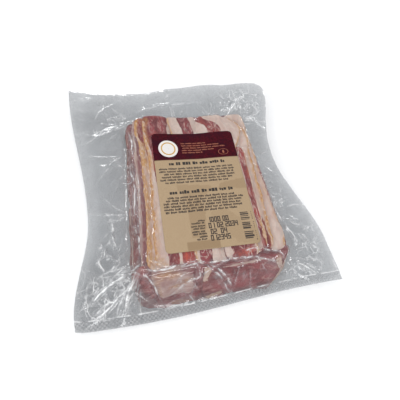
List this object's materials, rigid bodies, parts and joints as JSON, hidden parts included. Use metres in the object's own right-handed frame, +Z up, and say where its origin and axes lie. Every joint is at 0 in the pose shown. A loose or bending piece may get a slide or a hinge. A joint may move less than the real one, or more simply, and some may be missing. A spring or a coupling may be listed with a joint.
{
  "type": "bacon pack",
  "caption": "Clear vacuum pouch of sliced streaky bacon with a paper label, lying flat; a grocery pack for shelves, fridges and kitchen tables.",
  "frame": {"origin": "bottom centre of the pack's box, on the surface it lies on", "axes": "+Y towards the far end of the pack, where the label's header is; the heat seal is at -Y; +X is the pack's right; +Z up out of the label"},
  "size_m": [0.281, 0.3086, 0.0341],
  "materials": {
    "film": "clear, glossy, creased film",
    "label_paper": "matte coated paper, tan with a burgundy header",
    "label_ink": "matte printed marks",
    "bacon": "moist raw streaky bacon: red lean, cream fat, orange smoked rind"
  },
  "bodies": {
    "root": {"vacuum_bag": "film", "label": "label_paper"}
  },
  "joints": []
}
